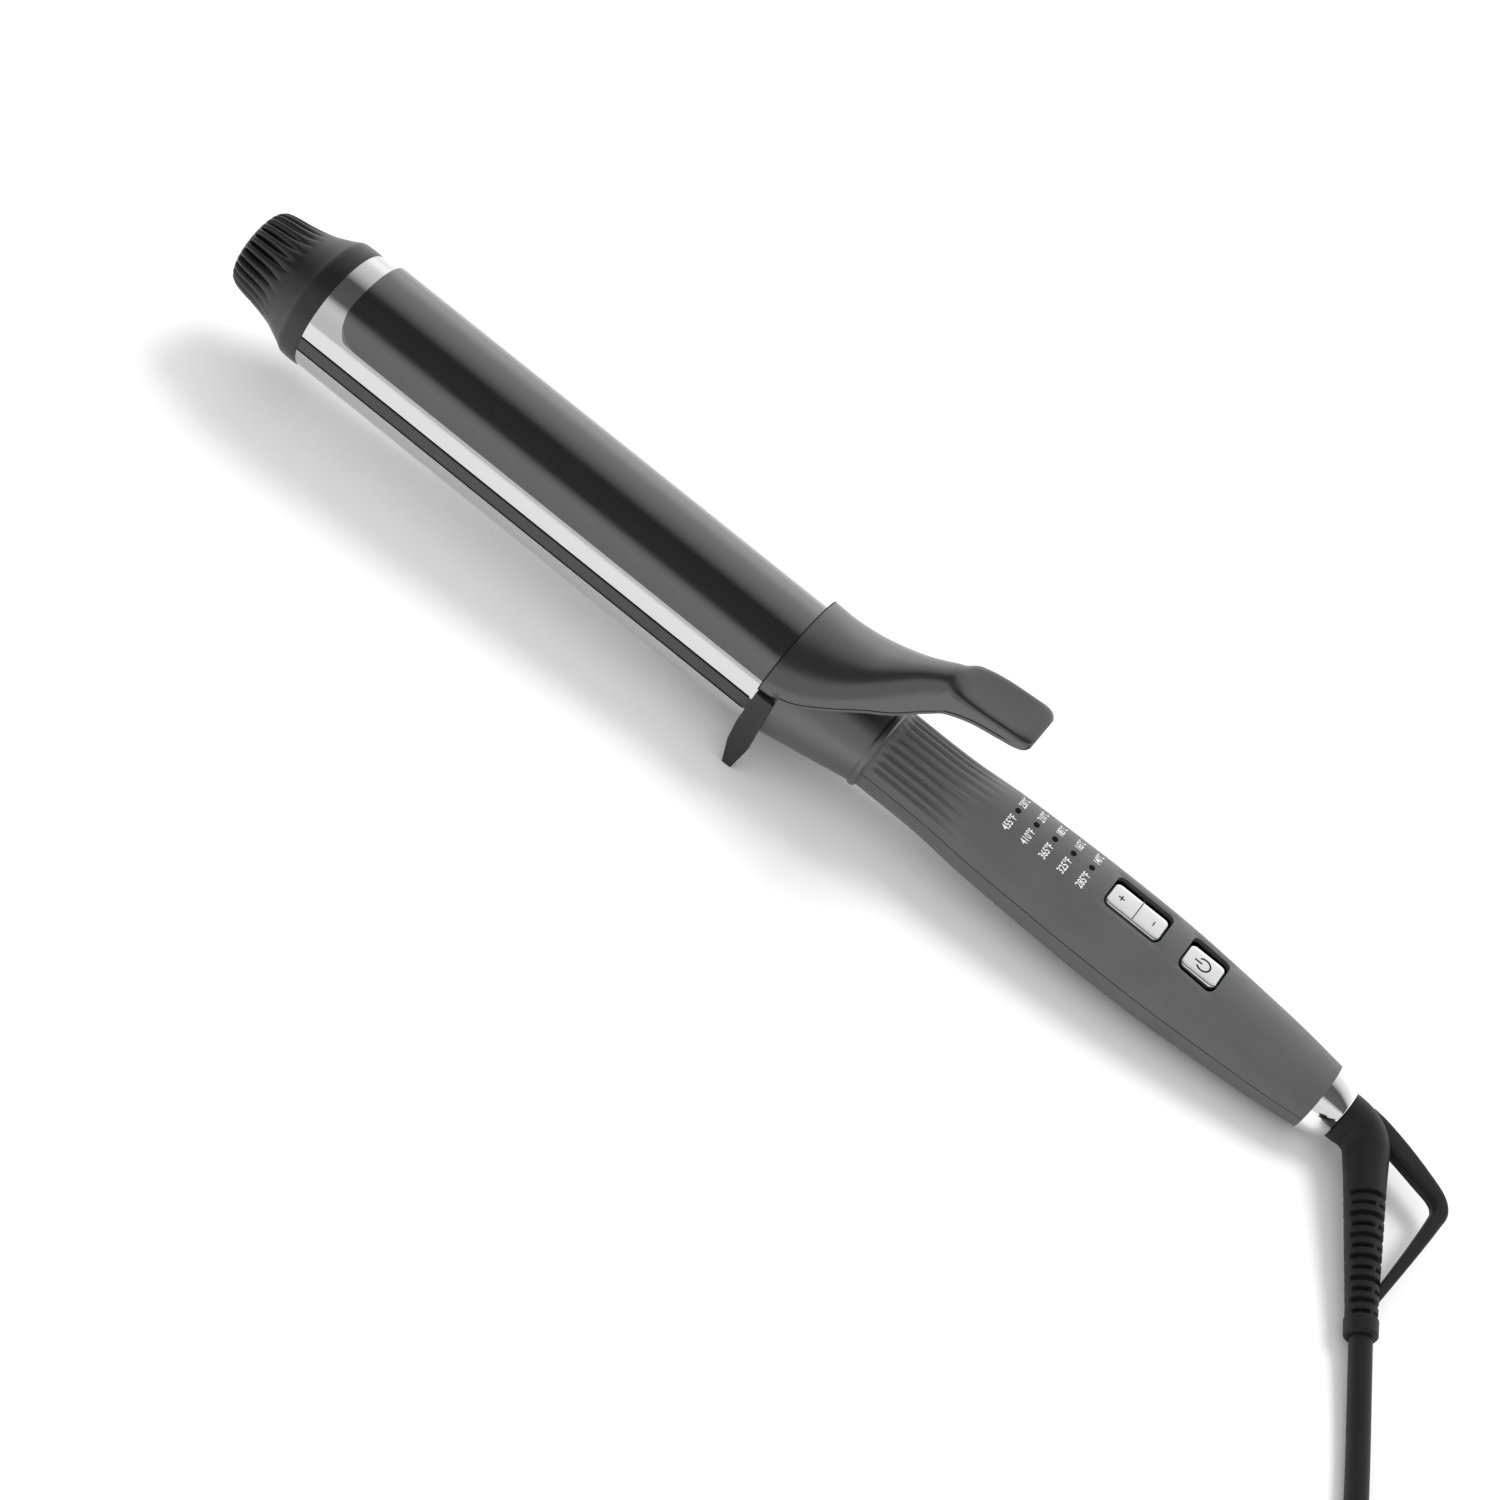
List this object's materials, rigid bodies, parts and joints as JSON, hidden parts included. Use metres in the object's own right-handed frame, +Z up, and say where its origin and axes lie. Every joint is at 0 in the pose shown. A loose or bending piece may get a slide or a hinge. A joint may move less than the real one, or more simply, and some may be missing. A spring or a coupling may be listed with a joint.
{
  "type": "curling iron",
  "caption": "Spring-clamp curling iron with a metal barrel, thumb lever, fold-out stand, push-button temperature control, swivel cord and a coiled mains lead with a two-blade plug.",
  "frame": {"origin": "middle of the iron's base, on the surface it rests on, without the cord", "axes": "+X from the cool tip to the cord end, +Z up; the barrel leans 3.55 degrees, tip up"},
  "size_m": [0.5415, 0.1952, 0.0644],
  "materials": {
    "polished_titanium": "polished",
    "ion_ceramic": "matte",
    "black_plastic": "satin",
    "clamp_metal": "satin",
    "lever_plastic": "satin",
    "ferrule_plastic": "satin",
    "handle_plastic": "matte",
    "stand_black": "satin",
    "bright_chrome": "polished",
    "button_chrome": "polished",
    "steel": "satin",
    "brass": "polished",
    "aluminium": "satin",
    "phenolic": "matte",
    "white_ceramic": "matte",
    "board_green": "satin",
    "chip_black": "matte",
    "lead_insulation": "matte",
    "potting": "gloss",
    "smoked_lens": "gloss",
    "led_body": "gloss",
    "boot_rubber": "matte",
    "cord_rubber": "matte",
    "tie_rubber": "matte"
  },
  "bodies": {
    "handle": {"barrel_tube": "polished_titanium", "ion_strip_left": "ion_ceramic", "ion_strip_right": "ion_ceramic", "cool_tip": "black_plastic", "tip_insulator": "phenolic", "heat_spreader_upper": "aluminium", "heat_spreader_lower": "aluminium", "ceramic_heater": "white_ceramic", "temperature_sensor": "white_ceramic", "thermal_fuse": "steel", "heater_leads": "lead_insulation", "base_insulator": "phenolic", "ferrule": "ferrule_plastic", "handle_collar": "ferrule_plastic", "upper_handle_shell": "handle_plastic", "lower_handle_shell": "handle_plastic", "handle_screws": "steel", "circuit_board": "board_green", "control_chip": "chip_black", "power_triac": "chip_black", "filter_capacitor": "chip_black", "button_switches": "chip_black", "indicator_leds": "led_body", "indicator_lenses": "smoked_lens", "ion_generator": "potting", "ion_lead": "lead_insulation", "rocker_pivot": "steel", "end_ring": "bright_chrome", "swivel_bush": "black_plastic", "contact_brushes": "brass", "clamp_spring": "steel"},
    "clamp": {"clamp_plate": "clamp_metal", "thumb_lever": "lever_plastic", "clamp_rivets": "aluminium"},
    "stand": {"stand_leg_left": "stand_black", "stand_leg_right": "stand_black", "hinge_pin": "steel"},
    "rocker": {"temperature_rocker": "button_chrome"},
    "power": {"power_button": "button_chrome"},
    "cord_swivel": {"swivel_rotor": "black_plastic", "slip_rings": "brass", "strain_relief": "boot_rubber", "hang_loop": "boot_rubber", "cord": "cord_rubber", "cord_coil": "cord_rubber", "coil_tie": "tie_rubber", "plug_body": "boot_rubber", "plug_blades": "brass"}
  },
  "joints": [
    {"name": "clamp_hinge", "type": "hinge", "parent": "handle", "child": "clamp", "pos_m": [0.00093, 0, 0.0228], "axis": [0, 1, 0], "range_deg": [0, 20], "stiffness_Nm_per_rad": 0.25, "springref_deg": -51.57},
    {"name": "stand_hinge", "type": "hinge", "parent": "handle", "child": "stand", "pos_m": [0.00093, 0, 0.0228], "axis": [0, 1, 0], "range_deg": [0, 80]},
    {"name": "temperature_rocker_hinge", "type": "hinge", "parent": "handle", "child": "rocker", "pos_m": [0.1158, 0, 0.0259], "axis": [0, 1, 0], "range_deg": [-3.5, 3.5], "stiffness_Nm_per_rad": 0.12},
    {"name": "power_button_slide", "type": "slide", "parent": "handle", "child": "power", "axis": [-0.0619, 0, -0.9981], "range_m": [0, 0.0007], "stiffness_N_per_m": 900, "springref_m": -0.0006},
    {"name": "cord_swivel_hinge", "type": "hinge", "parent": "handle", "child": "cord_swivel", "pos_m": [0.1776, 0, 0.01184], "axis": [0.9981, 0, -0.0619], "continuous": true}
  ]
}
